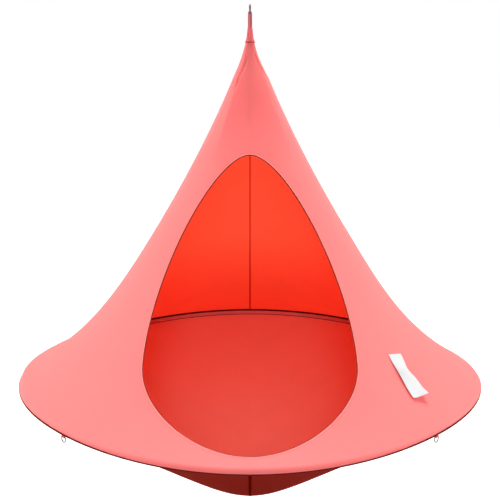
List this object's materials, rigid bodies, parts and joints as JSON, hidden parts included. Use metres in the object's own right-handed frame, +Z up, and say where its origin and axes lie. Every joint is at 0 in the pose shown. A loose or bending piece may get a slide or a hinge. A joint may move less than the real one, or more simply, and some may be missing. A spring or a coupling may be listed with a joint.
{
  "type": "cocoon hammock",
  "caption": "Hanging cloth tent: a flared cone with a teardrop door, sewn to a hooped rim over a deep cloth seat, hung from one steel link.",
  "frame": {"origin": "inside top of the hanging link, where the hook bears", "axes": "+Z up along the hanging line, -Y out of the doorway, +X to the right seen from the front"},
  "size_m": [1.8604, 1.8604, 1.9878],
  "materials": {
    "coral_cloth": "matt woven, coral",
    "seat_cloth": "matt woven, red",
    "seam_tape": "matt tape, dark red",
    "neck_cloth": "matt woven, dull rose",
    "webbing": "woven webbing, dull rose",
    "label_cloth": "bare white weave",
    "steel": "dark grey steel",
    "ring_metal": "plain drawn tube"
  },
  "bodies": {
    "link": {"hanging_link": "steel"},
    "tent": {"apex_cap": "neck_cloth", "back_seam_tape": "seam_tape", "canopy_left_panel": "coral_cloth", "canopy_right_panel": "coral_cloth", "door_hem": "coral_cloth", "front_seam_tape": "seam_tape", "lifting_webbing": "webbing", "neck_cover": "neck_cloth", "rim_sleeve_left": "coral_cloth", "rim_sleeve_right": "coral_cloth", "ring_ferrule_1": "ring_metal", "ring_ferrule_2": "ring_metal", "ring_ferrule_3": "ring_metal", "ring_ferrule_4": "ring_metal", "ring_tube_1": "ring_metal", "ring_tube_2": "ring_metal", "ring_tube_3": "ring_metal", "ring_tube_4": "ring_metal", "seat_left_panel": "seat_cloth", "seat_right_panel": "seat_cloth", "seat_seam_tape": "seam_tape", "side_label": "label_cloth", "tie_tab_front_left": "webbing", "tie_tab_front_right": "webbing", "tie_tab_rear_left": "webbing", "tie_tab_rear_right": "webbing"},
    "tie_front_right": {"tie_ring_front_right": "steel"},
    "tie_rear_right": {"tie_ring_rear_right": "steel"},
    "tie_rear_left": {"tie_ring_rear_left": "steel"},
    "tie_front_left": {"tie_ring_front_left": "steel"}
  },
  "joints": [
    {"name": "side_swing", "type": "hinge", "parent": "link", "child": "tent", "pos_m": [0, 0, -0.0245], "axis": [0, 1, 0], "range_deg": [-30, 30]},
    {"name": "tie_swing_front_right", "type": "hinge", "parent": "tent", "child": "tie_front_right", "pos_m": [0.65705, -0.59161, -1.4903], "axis": [0.6691, 0.7431, 0], "range_deg": [-90, 90]},
    {"name": "tie_swing_rear_right", "type": "hinge", "parent": "tent", "child": "tie_rear_right", "pos_m": [0.65705, 0.59161, -1.4903], "axis": [-0.6691, 0.7431, 0], "range_deg": [-90, 90]},
    {"name": "tie_swing_rear_left", "type": "hinge", "parent": "tent", "child": "tie_rear_left", "pos_m": [-0.65705, 0.59161, -1.4903], "axis": [-0.6691, -0.7431, 0], "range_deg": [-90, 90]},
    {"name": "tie_swing_front_left", "type": "hinge", "parent": "tent", "child": "tie_front_left", "pos_m": [-0.65705, -0.59161, -1.4903], "axis": [0.6691, -0.7431, 0], "range_deg": [-90, 90]}
  ]
}
